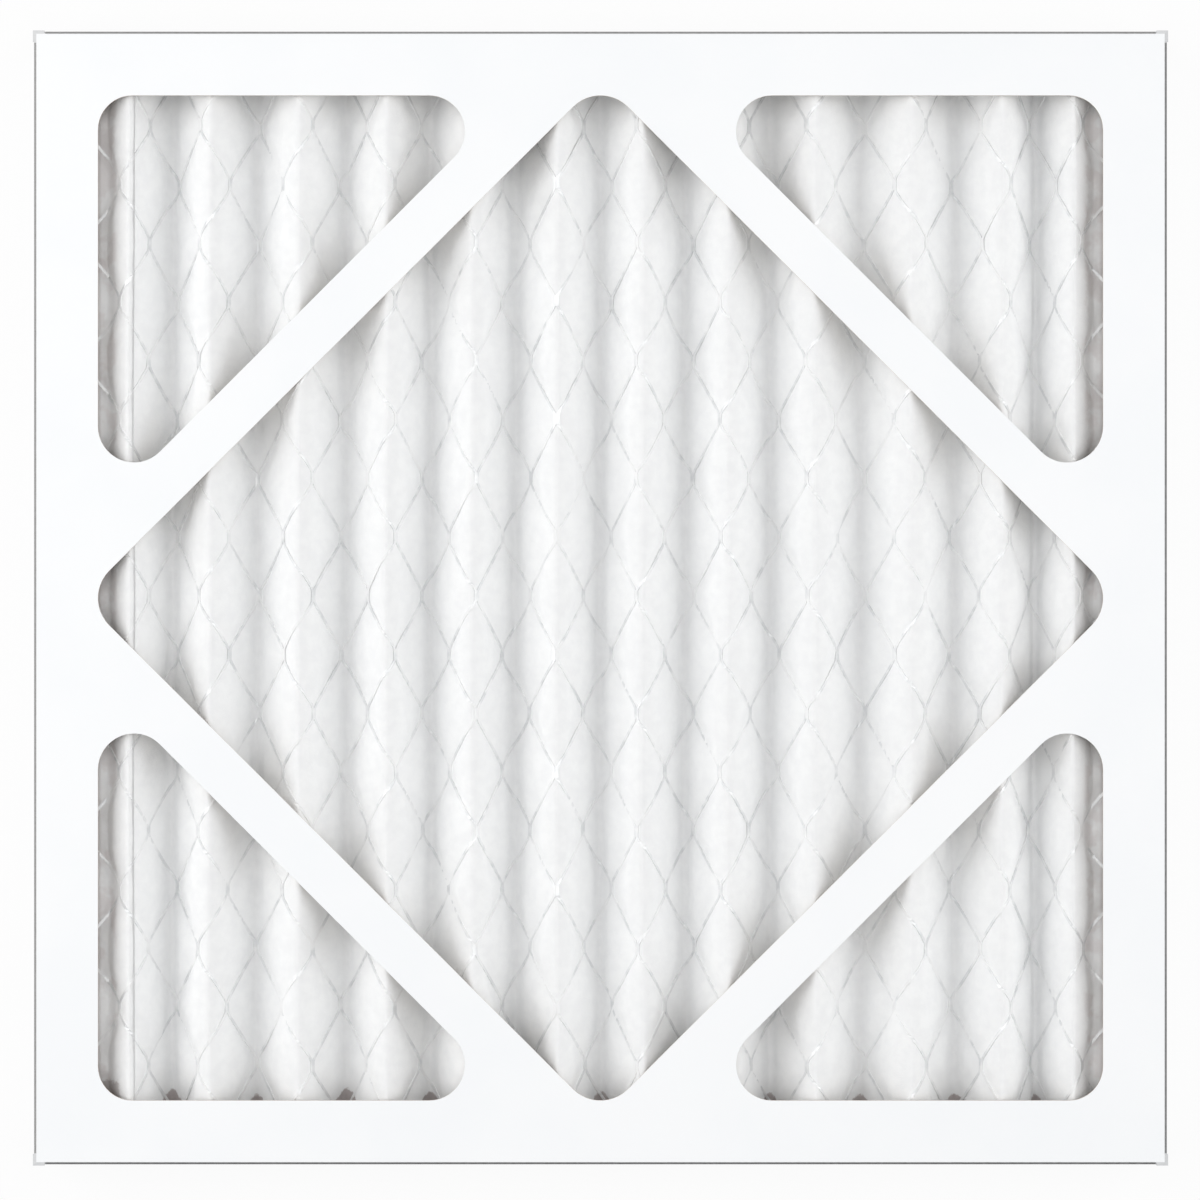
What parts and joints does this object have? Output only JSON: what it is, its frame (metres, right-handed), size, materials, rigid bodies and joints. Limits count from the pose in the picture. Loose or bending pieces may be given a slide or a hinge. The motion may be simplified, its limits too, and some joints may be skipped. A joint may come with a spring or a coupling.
{
  "type": "pleated panel air filter",
  "caption": "Flat square pleated air filter: white die-cut board frame with diamond strap windows, folded nonwoven media and expanded metal support.",
  "frame": {"origin": "centre of the footprint on the surface that the panel lies on, the plane of its back face", "axes": "+Z through the panel, from the back face to the front face with the expanded metal; +Y along the pleats; +X across the pleats"},
  "size_m": [0.2984, 0.2984, 0.0191],
  "materials": {
    "frame_board": "matt white clay-coated beverage board",
    "filter_media": "soft matt nonwoven synthetic fibre",
    "galvanised_mesh": "thin galvanised expanded steel, dull",
    "hot_melt": "set hot-melt adhesive, slightly yellow and satin"
  },
  "bodies": {
    "root": {"front_frame": "frame_board", "back_frame": "frame_board", "pleated_media": "filter_media", "support_mesh": "galvanised_mesh", "front_adhesive": "hot_melt", "back_adhesive": "hot_melt", "upper_end_seal": "hot_melt", "lower_end_seal": "hot_melt", "left_side_seal": "hot_melt", "right_side_seal": "hot_melt"}
  },
  "joints": []
}
